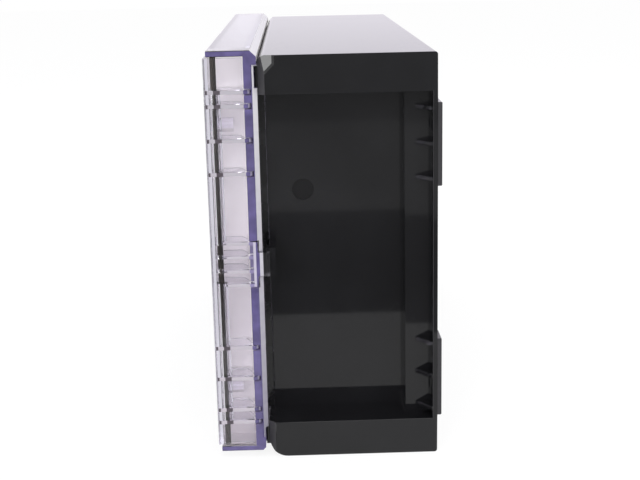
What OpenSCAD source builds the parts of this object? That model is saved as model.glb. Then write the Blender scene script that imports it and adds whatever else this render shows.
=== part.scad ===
// Wall-mount enclosure with a clear hinged cover.
// It stands on a long side: the cover faces -X, the back with its ears faces +X,
// the locking bar is at the -Y end and the hinge at the +Y end.

/* [Body] */
// Length of the body from end to end
body_len = 271; // [230:1:320]
// Height of the body as it stands
body_h = 170; // [160:1:200]
// Depth of the body from its front plate to its back
body_d = 69.4; // [60:0.2:90]
// Wall thickness of the body
body_wall = 2.8; // [2:0.1:3.4]
// Radius of the body's long front edges
edge_r = 3.2; // [2.4:0.1:4]
// Inside radius along the body's front edges
inside_r = 4.4; // [2:0.2:6]
// Radius of the body's long back edges
back_r = 1.2; // [0.6:0.1:2]
// Width of the front land from the body's long sides to the opening
land_w = 15; // [13:0.5:20]
// Width of the front land inside each recessed end wall
end_land = 5.5; // [4:0.5:9]
// Corner radius of the front opening
opening_r = 6; // [3:0.5:12]

/* [Front rim] */
// Width of the raised front rim along the body's long sides
front_rim = 4.2; // [3.4:0.1:5]
// Gap between the front rim and the closed cover
front_gap = 0.3; // [0.2:0.1:0.6]
// Chamfer on the upright front edges of the locking end
post_chamfer = 2.8; // [1.5:0.1:3.5]
// Radius of the lower front corner of the locking end
foot_r = 8; // [5:0.1:9]
// Height of the slanted facet on the upper front corner of the locking end
facet_h = 10.4; // [8:0.1:13]
// Width of the corner facet
facet_w = 6.8; // [5:0.1:9]
// Depth of the facet at the corner
facet_d = 1.7; // [1:0.1:2.2]
// Height of each locating tab on the rim
tab_h = 8.2; // [5:0.1:9]
// Distance of the tabs from the body's long sides
tab_inset = 4.5; // [4.2:0.1:6]
// How far a tab reaches into the cover
tab_reach = 0.9; // [0.5:0.1:1.4]
// Thickness of a tab
tab_t = 2.4; // [1.5:0.1:4]

/* [End recesses] */
// Height of the plain band above and below each end recess
band_h = 15.6; // [15:0.1:18]
// Depth of the deep part of each recess
recess_d = 20; // [16:0.5:24]
// Depth of the shallow part of each recess
shallow_d = 8.5; // [7.5:0.5:11]
// Length of the shallow part, measured from the body's back
shallow_len = 12.7; // [11:0.1:16]
// Thickness of the rim behind the shallow part
back_rim = 2; // [1.6:0.1:3]
// Corner radius of the recesses
recess_r = 2; // [1:0.5:4]
// Diameter of the round moulding mark on each recess floor
mark_d = 9; // [5:0.5:12]
// Depth of the moulding mark
mark_depth = 0.3; // [0.2:0.1:0.6]
// Distance of the mark behind the body's front plate
mark_x = 14.8; // [10:0.1:24]
// Height of the mark above the body's middle
mark_z = 27; // [10:0.5:40]

/* [Ears] */
// Height of each ear pad
ear_h = 34; // [32:0.5:36]
// How far the ears stand out behind the body's back
ear_proud = 1.8; // [0.8:0.1:2.4]
// Distance of each ear's middle from the nearest long side
ear_mid = 35.5; // [34:0.5:42]
// How far the ears sit below the body's middle
ear_drop = 1.5; // [0:0.1:2]
// Thickness of a gusset
gusset_t = 1.8; // [1.2:0.1:2.4]
// Length of a gusset in front of its ear
gusset_len = 6.4; // [5:0.1:8]
// Pitch of the three gussets of an ear
gusset_pitch = 14.5; // [13:0.5:15]
// Diameter of the wall screw hole in each ear
ear_hole_d = 4.5; // [3:0.1:5.5]

/* [Standoffs] */
// Diameter of the standoffs inside the body
standoff_d = 8; // [6:0.5:12]
// Height of the standoffs
standoff_h = 8; // [5:0.5:15]
// Diameter of the pilot holes in the standoffs
pilot_d = 3.2; // [2:0.1:4.5]
// Depth of the pilot holes
pilot_depth = 7; // [4:0.5:9]
// Spacing of the standoffs along the body
standoff_y = 190; // [120:1:194]
// Spacing of the standoffs up the body
standoff_z = 116; // [60:1:124]

/* [Cover] */
// How much shorter the cover is than the body
cover_short = 1; // [0:0.1:3]
// Height of the cover's lower side above the body's
cover_rise = 3.1; // [1.5:0.1:3.5]
// Depth of the cover
cover_d = 19.9; // [17:0.1:26]
// Wall thickness of the cover's long sides
cover_wall = 2.4; // [2:0.1:3]
// Thickness of the cover's front panel
panel_t = 2.6; // [2:0.1:4]
// Chamfer on the cover's back edges
cover_chamfer = 2.5; // [1.5:0.1:3]
// Length without chamfer at the ends of the end edges
chamfer_stop = 5.7; // [4:0.1:8]
// Thickness of the land round the back of the cover
cover_land_t = 5.3; // [5:0.1:7]
// Depth of the end pocket that holds the locking bar
pocket_d = 14; // [12:0.5:16]
// Thickness of the walls of the end pockets
pocket_wall = 2.5; // [2:0.1:3]

/* [Seal] */
// Thickness of the seal
seal_t = 2.4; // [1.5:0.1:3]
// Distance of the seal from the body's long sides
seal_inset = 5.8; // [5.4:0.1:8]
// Distance of the seal from the recessed end walls
seal_end = 0.6; // [0.4:0.1:2]
// Gap between the closed seal and the body
seal_gap = 0.1; // [0.05:0.05:0.3]

/* [Hinge] */
// Distance of the hinge axis in front of the body's front plate
hinge_front = 5.7; // [5.4:0.1:6.5]
// Distance of the hinge axis from the end of the body
hinge_end = 4; // [3.8:0.1:4.5]
// Diameter of the hinge pins
pin_d = 3; // [2:0.1:3.4]
// Radius of the hinge lugs
lug_r = 3.5; // [2.8:0.1:3.7]
// Height of the hinge lugs
lug_h = 9; // [6:0.5:12]
// Length of pin held in the cover on each side of a lug
pin_grip = 4; // [3:0.1:4]
// Length of the cover's knuckle on each side of a lug
knuckle_h = 7; // [5:0.5:9]

/* [Locking bar] */
// Thickness of the bar's walls
bar_t = 2; // [1.5:0.1:2.4]
// How far the bar stands out in front of the cover
bar_proud = 1.3; // [0.6:0.1:2]
// Distance of the rod's axis behind the cover's front
rod_back = 2.5; // [2.3:0.1:3]
// Distance of the rod's axis from the end of the cover
rod_end = 4.5; // [4.3:0.1:5]
// Diameter of the rod
rod_d = 2.4; // [1.6:0.1:2.6]
// Length of rod held in each long side of the cover
rod_seat = 1.6; // [1:0.1:1.8]
// Diameter of the sleeve round the rod
sleeve_d = 5.2; // [4.6:0.1:6]
// Thickness of a rib
rib_t = 1.6; // [1.2:0.1:2.2]
// Distance of the first pair of ribs from the ribs' middle
rib_z1 = 36.8; // [30:0.1:42]
// Distance of the second pair of ribs from the ribs' middle
rib_z2 = 50.4; // [48:0.1:52]
// Distance of the third pair of ribs from the ribs' middle
rib_z3 = 64.2; // [61:0.1:65]
// Distance of the last pair of ribs from the ribs' middle
rib_z4 = 69.8; // [69:0.1:71]
// How far the ribs' middle sits below the cover's middle
rib_drop = 1.7; // [0:0.1:2]
// Length of a rib's nose in the cover's land
nose_len = 2.5; // [1.5:0.1:3]
// Width of a rib's nose
nose_w = 5; // [4:0.1:5.2]
// Diameter of the two round bosses
boss_d = 5.8; // [4:0.1:6.4]
// Length of the bosses
boss_len = 9; // [5:0.5:9.5]
// Distance of the bosses from the ribs' middle
boss_z = 56; // [55:0.5:58]
// Distance of the bosses from the end of the cover
boss_end = 8.8; // [8.4:0.1:9.4]
// Height of the finger grip
grip_h = 19; // [14:0.5:24]
// Thickness of the finger grip
grip_t = 1.9; // [1.4:0.1:2.2]
// Width of the finger grip
grip_w = 4.2; // [3:0.1:5]
// Number of ridges behind the grip
grip_ridges = 4; // [2:1:5]
// Thickness of a ridge
ridge_t = 1.3; // [1:0.1:1.8]
// Height of the hook
hook_h = 10; // [6:0.5:12]
// Thickness of the hook's arm
hook_t = 1.6; // [1.2:0.1:1.8]
// Length of the hook behind the cover
hook_len = 2.9; // [2.6:0.1:3.2]
// How far the hook's barb stands in
barb = 0.7; // [0.4:0.1:0.8]
// Thickness of the barb and of the catch lip in front of it
barb_t = 1; // [0.8:0.1:1]
// Height of the body's catch
catch_h = 12; // [8:0.5:16]
// Length of the catch's raised block
catch_len = 5; // [3:0.5:8]

/* [Clearances] */
// Gap between the locking bar and its pocket
bar_gap = 0.5; // [0.3:0.1:0.8]
// Distance of the bar's outer face inside the end of the cover
bar_inset = 0.3; // [0.1:0.1:0.4]
// Gap between the bar's front wall and the pocket's inner wall
bar_swing_gap = 1.5; // [1.2:0.1:2.5]
// Gap round the locating tabs
tab_gap = 0.3; // [0.2:0.1:0.5]
// Gap round the hinge lugs
hinge_gap = 0.4; // [0.3:0.1:0.6]
// Radial running clearance of the pins and the rod
run_gap = 0.05; // [0.02:0.01:0.1]
// Gap between the hook and what it passes
hook_gap = 0.5; // [0.4:0.1:0.8]
// Gap between the barb and the catch lip
catch_gap = 0.3; // [0.2:0.1:0.3]

/* [Hidden] */
$fn = 64;
// Overshoot of cuts past a face
cut = 1;

// Depth positions, with the whole part centred on X
total_d = bar_proud + cover_d + seal_t + seal_gap + body_d + ear_proud;
x_bar = -total_d / 2;
x_cover = x_bar + bar_proud;
x_seal = x_cover + cover_d;
x_land = x_seal - cover_land_t;
x_front = x_seal + front_gap;
x_body = x_seal + seal_t + seal_gap;
x_plate = x_body + body_wall;
x_back = x_body + body_d;
x_step = x_back - shallow_len;
x_rim = x_back - back_rim;

// Length and height positions
y_end = body_len / 2;
y_floor = y_end - recess_d;
y_shallow = y_end - shallow_d;
y_wall = y_floor - body_wall;
y_open = y_wall - end_land;
cover_z0 = cover_rise;
cover_h = body_h - cover_short;
cover_z1 = cover_z0 + cover_h;
cover_zm = (cover_z0 + cover_z1) / 2;
hollow_z0 = cover_z0 + cover_wall;
hollow_z1 = cover_z1 - cover_wall;
y_pocket = y_end - pocket_d;

// Hinge
hinge_x = x_body - hinge_front;
hinge_y = y_end - hinge_end;
pin_r = pin_d / 2;
lug_low = max(edge_r, cover_rise + hinge_gap + pin_grip + cut);
lug_bottoms = [lug_low, body_h - lug_low - lug_h];
lug_notch = norm([hinge_end, lug_r]) + hinge_gap;
// Far end of the front rim, clear of the cover's edge as it swings
rim_y1 = hinge_y - norm([hinge_end, x_seal - hinge_x]) - hinge_gap;
// Near face of the locating tabs, behind the chamfered posts
tab_y = -y_end + post_chamfer + front_gap + tab_reach;

// Locking bar
rod_x = x_cover + rod_back;
rod_y = -y_end + rod_end;
rod_r = rod_d / 2;
bar_y0 = -y_end + bar_inset;
bar_y1 = -y_pocket - bar_swing_gap;
bar_x1 = x_land - bar_gap;
bar_z0 = hollow_z0 + bar_gap;
bar_z1 = hollow_z1 - bar_gap;
swing_r = x_land - rod_x - bar_gap;
rib_z = [rib_z1, rib_z2, rib_z3, rib_z4];
nose_x = x_land + nose_len;
grip_x = nose_x - grip_t / 2;
rib_zm = cover_zm - rib_drop;
hook_x = x_seal + hook_len;
hook_z = body_h / 2;
grip_z0 = hook_z - grip_h / 2;
grip_z1 = hook_z + grip_h / 2;
lip_x1 = hook_x - barb_t - catch_gap;
lip_x0 = lip_x1 - barb_t;
lip_y = bar_y0 + hook_t + barb + catch_gap;
catch_y = lip_y + barb;

// Flat outline with four rounded corners, the first two radii at the low x side
module rounded_outline(x0, y0, x1, y1, r_low, r_high) {
  translate([x0 + r_low, y0]) square([x1 - x0 - r_low - r_high, y1 - y0]);
  translate([x0, y0 + r_low]) square([r_low, y1 - y0 - 2 * r_low]);
  translate([x1 - r_high, y0 + r_high]) square([r_high, y1 - y0 - 2 * r_high]);
  for (y = [y0 + r_low, y1 - r_low]) translate([x0 + r_low, y]) circle(r_low);
  for (y = [y0 + r_high, y1 - r_high]) translate([x1 - r_high, y]) circle(r_high);
}

// Extrudes an outline in X and Z along the length, between two Y positions
module along_y(y0, y1) {
  translate([0, y1, 0]) rotate([90, 0, 0]) linear_extrude(y1 - y0) children();
}

// Extrudes an outline in Y and Z through the depth, between two X positions
module along_x(x0, x1) {
  translate([x0, 0, 0]) rotate([90, 0, 90]) linear_extrude(x1 - x0) children();
}

// Box between two corners
module box(low, high) {
  translate(low) cube(high - low);
}

// Repeats its children at the near end and mirrored at the far end
module both_ends() {
  children();
  mirror([0, 1, 0]) children();
}

// Repeats its children at the bottom and mirrored at the top of the body
module top_and_bottom() {
  children();
  translate([0, 0, body_h]) mirror([0, 0, 1]) children();
}

// Front opening, the same in the body, the seal and the cover
module opening(x0, x1) {
  along_x(x0, x1) rounded_outline(-y_open, land_w, y_open, body_h - land_w, opening_r, opening_r);
}

// Outer form of the body
module body_block() {
  along_y(-y_end, y_end) rounded_outline(x_front, 0, x_back, body_h, edge_r, back_r);
}

// Cuts in the body's front: the seat of the seal inside the rim, and room for the cover's hinge end
module front_cuts() {
  box([x_front - cut, -y_floor, front_rim], [x_body, y_floor, body_h - front_rim]);
  box([x_front - cut, rim_y1, -cut], [x_body, y_end + cut, body_h + cut]);
}

// Chamfer on the upright front edges of the locking end
module post_edges() {
  c = post_chamfer + cut;
  translate([0, 0, -cut]) linear_extrude(body_h + 2 * cut)
    polygon([[x_front - cut, -y_end - cut], [x_front + c, -y_end - cut], [x_front - cut, -y_end + c]]);
}

// Large rounding of the lower front corner of the locking end
module foot_round() {
  along_y(-y_end - cut, -y_floor) difference() {
    translate([x_front - cut, -cut]) square(foot_r + cut);
    translate([x_front + foot_r, foot_r]) circle(foot_r);
  }
}

// Slanted facet on the front corner of the locking end, drawn at the lower side
module corner_facet() {
  reach = facet_h / sqrt(2);
  intersection() {
    box([x_front - cut, -y_end - cut, -cut], [x_front + facet_w, -y_end + 2 * facet_d, facet_h]);
    translate([x_front, -y_end, 0]) rotate([0, -45, 0]) linear_extrude(4 * facet_h, center = true)
      polygon([[2 * reach, -facet_d], [-reach, 2 * facet_d], [-reach, -facet_d]]);
  }
}

// Locating tab of the rim, at the lower side
module locating_tab() {
  box([x_seal - tab_reach, tab_y, tab_inset], [x_front + cut, tab_y + tab_t, tab_inset + tab_h]);
}

// Space inside the body's walls
module body_hollow() {
  along_y(-y_wall, y_wall)
    rounded_outline(x_plate, body_wall, x_back - body_wall, body_h - body_wall, inside_r, inside_r / 2);
  // Room in the corner columns above and below the end recesses
  both_ends() top_and_bottom()
    box([x_plate + inside_r, -y_end + body_wall, body_wall], [x_back - body_wall, -y_wall + cut, band_h - body_wall]);
  // Room behind the shallow part of the recesses
  both_ends()
    box([x_step + body_wall, -y_shallow + body_wall, body_wall], [x_back - body_wall, -y_wall + cut, body_h - body_wall]);
}

// Stepped recess in the near end, open at the front, with its moulding mark
module end_recess() {
  along_y(-y_end - cut, -y_floor)
    rounded_outline(x_front - recess_r - cut, band_h, x_step, body_h - band_h, recess_r, recess_r / 2);
  box([x_step - recess_r, -y_end - cut, band_h], [x_rim, -y_shallow, body_h - band_h]);
  translate([x_body + mark_x, -y_floor + mark_depth, body_h / 2 + mark_z])
    rotate([90, 0, 0]) cylinder(d = mark_d, h = mark_depth + cut);
}

// Ear pad with its three gussets, at the near end and the lower side
module ear() {
  ear_z0 = ear_mid - ear_h / 2;
  box([x_rim, -y_end, ear_z0], [x_back + ear_proud, -y_shallow + body_wall, ear_z0 + ear_h]);
  for (step = [-1, 0, 1])
    translate([0, 0, ear_mid + step * gusset_pitch - gusset_t / 2])
      linear_extrude(gusset_t)
        polygon([[x_rim + cut, -y_shallow + cut], [x_rim - gusset_len, -y_shallow + cut],
                 [x_rim - gusset_len, -y_shallow], [x_rim, -y_end + bar_inset], [x_rim + cut, -y_end + bar_inset]]);
}

// Wall screw hole in the outer bay of an ear
module ear_hole() {
  translate([x_rim - cut, -(y_end + y_shallow) / 2, ear_mid - gusset_pitch / 2])
    rotate([0, 90, 0]) cylinder(d = ear_hole_d, h = back_rim + ear_proud + 2 * cut);
}

// Hinge lug without its bore, standing forward from the front plate
module hinge_lug() {
  translate([hinge_x, hinge_y, 0]) cylinder(r = lug_r, h = lug_h);
  box([hinge_x, hinge_y - lug_r, 0], [x_plate, hinge_y + lug_r, lug_h]);
}

// Catch for the bar's hook: a tongue in the near recess with a raised block and a lip
module hook_catch() {
  translate([0, 0, hook_z - catch_h / 2]) {
    box([x_body, catch_y, 0], [x_plate, -y_floor + cut, catch_h]);
    box([lip_x0, catch_y, 0], [x_plate, catch_y + catch_len, catch_h]);
    box([lip_x0, lip_y, 0], [lip_x1, catch_y + cut, catch_h]);
  }
}

// Standoff with a pilot hole, its foot sunk in the back wall
module standoff() {
  foot = body_wall / 2;
  rotate([0, -90, 0]) difference() {
    translate([0, 0, -foot]) cylinder(d = standoff_d, h = standoff_h + foot);
    translate([0, 0, standoff_h - pilot_depth]) cylinder(d = pilot_d, h = pilot_depth + cut);
  }
}

module enclosure_body() {
  color("#2b2b2e") difference() {
    union() {
      difference() {
        body_block();
        body_hollow();
        opening(x_front - cut, x_plate + cut);
        front_cuts();
        post_edges();
        foot_round();
        translate([0, 0, body_h]) mirror([0, 0, 1]) corner_facet();
        both_ends() end_recess();
      }
      top_and_bottom() locating_tab();
      translate([0, 0, -ear_drop]) both_ends() top_and_bottom() ear();
      hook_catch();
      for (z = lug_bottoms) translate([0, 0, z]) hinge_lug();
      for (y = [-standoff_y / 2, standoff_y / 2])
        for (z = [-standoff_z / 2, standoff_z / 2])
          translate([x_back - body_wall, y, body_h / 2 + z]) standoff();
    }
    translate([0, 0, -ear_drop]) both_ends() top_and_bottom() ear_hole();
    for (z = lug_bottoms)
      translate([hinge_x, hinge_y, z - cut]) cylinder(r = pin_r + run_gap, h = lug_h + 2 * cut);
  }
}

// Outer form of the cover, chamfered along its back edges
module cover_block() {
  c = cover_chamfer;
  along_y(-y_end, y_end)
    polygon([[x_cover, cover_z0], [x_seal - c, cover_z0], [x_seal, cover_z0 + c],
             [x_seal, cover_z1 - c], [x_seal - c, cover_z1], [x_cover, cover_z1]]);
}

// Chamfer along the near end's back edge
module end_chamfer() {
  c = cover_chamfer;
  translate([0, 0, cover_z0 + chamfer_stop]) linear_extrude(cover_h - 2 * chamfer_stop)
    polygon([[x_seal - c - cut, -y_end - cut], [x_seal + cut, -y_end - cut], [x_seal + cut, -y_end + c + cut]]);
}

// Notches in the cover's land for the bar's ribs, its grip and its hook
module land_notches() {
  for (z = rib_z) for (side = [-1, 1])
    box([x_land - cut, -y_end - cut, rib_zm + side * z - rib_t / 2 - bar_gap],
        [nose_x + bar_gap, bar_y0 + nose_w + bar_gap, rib_zm + side * z + rib_t / 2 + bar_gap]);
  box([x_land - cut, -y_end - cut, grip_z0 - bar_gap],
      [grip_x + grip_t + bar_gap, bar_y0 + grip_w + bar_gap, grip_z1 + bar_gap]);
  box([x_land - cut, -y_end - cut, hook_z - hook_h / 2 - hook_gap],
      [x_seal + cut, lip_y, hook_z + hook_h / 2 + hook_gap]);
}

// Notch in the cover's land for a locating tab of the body, at the lower side
module tab_notch() {
  box([x_seal - tab_reach - tab_gap, -y_end - cut, tab_inset - tab_gap],
      [x_seal + cut, tab_y + tab_t + tab_gap, tab_inset + tab_h + tab_gap]);
}

// Room for a hinge lug over the whole swing of the cover
module lug_room(x0) {
  for (z = lug_bottoms)
    box([x0, hinge_y - lug_r - hinge_gap, z - hinge_gap], [x_body + cut, y_end + cut, z + lug_h + hinge_gap]);
}

// Cover's knuckles above and below each lug
module knuckles() {
  for (z = lug_bottoms)
    box([hinge_x - lug_r, hinge_y - lug_r, max(cover_z0, z - hinge_gap - knuckle_h)],
        [x_land + cut, y_end - pocket_wall + cut, min(cover_z1, z + lug_h + hinge_gap + knuckle_h)]);
}

// Pin bores, each open on the side towards the cover's middle
module pin_bores() {
  grip = hinge_gap + pin_grip;
  low = lug_bottoms[0];
  high = lug_bottoms[1];
  translate([hinge_x, hinge_y, low - grip]) cylinder(r = pin_r, h = lug_h + grip + hinge_gap + knuckle_h + cut);
  translate([hinge_x, hinge_y, high - hinge_gap - knuckle_h - cut])
    cylinder(r = pin_r, h = lug_h + grip + hinge_gap + knuckle_h + cut);
}

module clear_cover() {
  inner_y = y_pocket - pocket_wall;
  slot_z0 = lug_bottoms[0] + lug_h + hinge_gap + knuckle_h;
  slot_z1 = lug_bottoms[1] - hinge_gap - knuckle_h;
  color("#b9b4d0", 0.5) difference() {
    union() {
      difference() {
        cover_block();
        // Main hollow, far hollow over the hinge, and the near pocket
        box([x_cover + panel_t, -inner_y, hollow_z0], [x_land, inner_y, hollow_z1]);
        box([x_cover + panel_t, y_pocket, hollow_z0], [x_land, y_end - pocket_wall, hollow_z1]);
        box([x_cover - cut, -y_end - cut, hollow_z0], [x_land, -y_pocket, hollow_z1]);
      }
      knuckles();
    }
    opening(x_land - cut, x_seal + cut);
    // Core slot behind the far hollow, between the knuckles
    box([x_land - cut, y_pocket + pocket_wall, slot_z0], [x_seal + cut, y_end - pocket_wall - cut, slot_z1]);
    both_ends() end_chamfer();
    land_notches();
    top_and_bottom() tab_notch();
    lug_room(hinge_x - lug_notch);
    pin_bores();
    translate([rod_x, rod_y, hollow_z0 - rod_seat]) cylinder(r = rod_r, h = hollow_z1 - hollow_z0 + 2 * rod_seat);
  }
}

// Flat seal on the cover's land, inside the body's front rim
module cover_seal() {
  color("#1d1c1e") difference() {
    box([x_seal, -y_floor + seal_end, seal_inset], [x_seal + seal_t, y_floor - seal_end, body_h - seal_inset]);
    opening(x_seal - cut, x_body + cut);
  }
}

// Rib with a round inner end that clears the land as the bar swings, and a nose
module bar_rib(z, thick, nose) {
  translate([0, 0, z - thick / 2]) linear_extrude(thick) {
    intersection() {
      translate([x_bar + bar_t / 2, bar_y0 + bar_t / 2]) square([x_land - x_bar, bar_y1 - bar_y0 - bar_t / 2]);
      translate([rod_x, rod_y]) circle(swing_r);
    }
    if (nose) {
      translate([rod_x, bar_y0]) square([nose_x - nose_w / 2 - rod_x, nose_w]);
      translate([nose_x - nose_w / 2, bar_y0 + nose_w / 2]) circle(nose_w / 2);
    }
  }
}

// Finger grip with ridges in front and the hook behind it
module bar_latch() {
  ridge_step = (grip_h - ridge_t) / (grip_ridges - 1);
  for (i = [0 : grip_ridges - 1]) {
    z = hook_z - (grip_h - ridge_t) / 2 + i * ridge_step;
    bar_rib(z, ridge_t, false);
    box([rod_x, bar_y0, z - ridge_t / 2], [grip_x + grip_t / 2, bar_y0 + grip_w, z + ridge_t / 2]);
  }
  box([grip_x, bar_y0, grip_z0], [grip_x + grip_t, bar_y0 + grip_w, grip_z1]);
  translate([0, 0, hook_z - hook_h / 2]) {
    box([grip_x, bar_y0, 0], [hook_x, bar_y0 + hook_t, hook_h]);
    box([hook_x - barb_t, bar_y0, 0], [hook_x, bar_y0 + hook_t + barb, hook_h]);
  }
}

module locking_bar() {
  color("#d9d5de", 0.6) difference() {
    union() {
      box([x_bar, bar_y0, bar_z0], [bar_x1, bar_y0 + bar_t, bar_z1]);
      box([x_bar, bar_y0, bar_z0], [x_bar + bar_t, bar_y1, bar_z1]);
      for (z = rib_z) for (side = [-1, 1]) bar_rib(rib_zm + side * z, rib_t, true);
      translate([rod_x, rod_y, rib_zm - rib_z4]) cylinder(d = sleeve_d, h = grip_z0 - rib_zm + rib_z4);
      translate([rod_x, rod_y, grip_z1]) cylinder(d = sleeve_d, h = rib_zm + rib_z4 - grip_z1);
      for (side = [-1, 1])
        translate([x_bar + bar_t / 2, -y_end + boss_end, rib_zm + side * boss_z])
          rotate([0, 90, 0]) cylinder(d = boss_d, h = boss_len + bar_t / 2);
      bar_latch();
    }
    translate([rod_x, rod_y, bar_z0 - cut]) cylinder(r = rod_r + run_gap, h = bar_z1 - bar_z0 + 2 * cut);
  }
}

module bar_rod() {
  color("#3a3634")
    translate([rod_x, rod_y, hollow_z0 - rod_seat]) cylinder(r = rod_r, h = hollow_z1 - hollow_z0 + 2 * rod_seat);
}

module hinge_pins() {
  grip = hinge_gap + pin_grip;
  color("silver") for (z = lug_bottoms)
    translate([hinge_x, hinge_y, z - grip]) cylinder(r = pin_r, h = lug_h + 2 * grip);
}

enclosure_body();
clear_cover();
cover_seal();
locking_bar();
bar_rod();
hinge_pins();
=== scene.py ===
"""Dresses the wall-mount enclosure: black moulded body, clear hinged cover with its locking bar."""

import math

import bmesh
import bpy
from mathutils import Euler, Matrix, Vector


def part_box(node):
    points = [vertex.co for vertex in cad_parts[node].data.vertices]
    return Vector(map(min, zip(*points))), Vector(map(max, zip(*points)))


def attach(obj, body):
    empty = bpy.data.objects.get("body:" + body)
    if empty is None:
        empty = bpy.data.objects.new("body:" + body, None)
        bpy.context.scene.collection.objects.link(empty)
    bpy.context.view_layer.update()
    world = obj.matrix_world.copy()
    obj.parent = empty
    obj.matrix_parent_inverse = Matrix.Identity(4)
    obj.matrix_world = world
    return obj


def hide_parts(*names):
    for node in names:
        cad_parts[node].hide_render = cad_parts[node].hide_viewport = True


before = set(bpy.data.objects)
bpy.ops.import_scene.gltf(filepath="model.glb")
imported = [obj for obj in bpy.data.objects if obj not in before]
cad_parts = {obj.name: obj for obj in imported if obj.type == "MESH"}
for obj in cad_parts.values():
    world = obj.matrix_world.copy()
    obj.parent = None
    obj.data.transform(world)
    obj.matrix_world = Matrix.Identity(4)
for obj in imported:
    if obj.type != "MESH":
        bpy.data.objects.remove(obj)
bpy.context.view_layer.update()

bl_info = {
    "name": "Clear-cover enclosure",
    "version": (1, 0, 0),
    "blender": (4, 5, 0),
    "location": "3D View > Sidebar > Enclosure",
    "description": "Builds the looks of a black wall enclosure with a clear hinged cover",
    "category": "Object",
}

MM = 0.001
BODY_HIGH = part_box("enclosure_body")[1]
COVER_LOW, COVER_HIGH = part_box("clear_cover")
BAR_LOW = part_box("locking_bar")[0]
END_Y = BODY_HIGH.y
MIDDLE_Z = BODY_HIGH.z / 2

# Half the side of the floor, and how bright gloss sees what lies along it in front of the part:
# the dim room, then from their far ends on the table, its dark front edge and the paper.
FLOOR_HALF = 4.0
ROOM_TONE = 0.38
FRONT_TONES = ((-1.1, 0.55), (-0.588, 0.2), (-0.308, 0.85))

# CAD points this close are one point, and CAD faces that turn by less than this are one face.
SAME_POINT = 1e-6
SAME_FACE = math.radians(0.4)

# Edges this sharp are rounded, if no edge beside them is shorter than the second value;
# below the third value faces are shaded as one.
SHARP_ANGLE = math.radians(40)
SHORTEST_EDGE = 0.55 * MM
SMOOTH_ANGLE = math.radians(34)

# What lies this close to a line or a face lies on it.
ON_LINE = 0.05 * MM
ON_FACE = 0.1 * MM

# A face looks along a direction, closely along it or exactly along it if the cosine of the angle
# between its normal and the direction is above these values.
ALONG = 0.9
CLOSELY = 0.99
EXACTLY = 0.9995

# Depth of the facet on the upper front corner of the locking end, and the gap between the
# closed cover and the body's front rim.
FACET_DEPTH = 1.7 * MM
FRONT_GAP = 0.3 * MM

# The body's catch and hinge lugs lie in front of this depth and within the last value of the ends.
# The other two are half the height of the catch with its root, and of the catch alone.
FITTINGS_X = -20 * MM
CATCH_ROOT_HALF = 9 * MM
CATCH_HALF = 6.5 * MM
FITTINGS_REACH = 10 * MM

# Edges of the body, the cover and the bar that are longer than these are rounded.
LONG_BODY_EDGE = 7 * MM
LONG_COVER_EDGE = 6 * MM
LONG_BAR_EDGE = 4 * MM

# Half the height of the bar's grip.
GRIP_HALF = 10.2 * MM

# Refractive index of polycarbonate.
PC_IOR = 1.585


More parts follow.
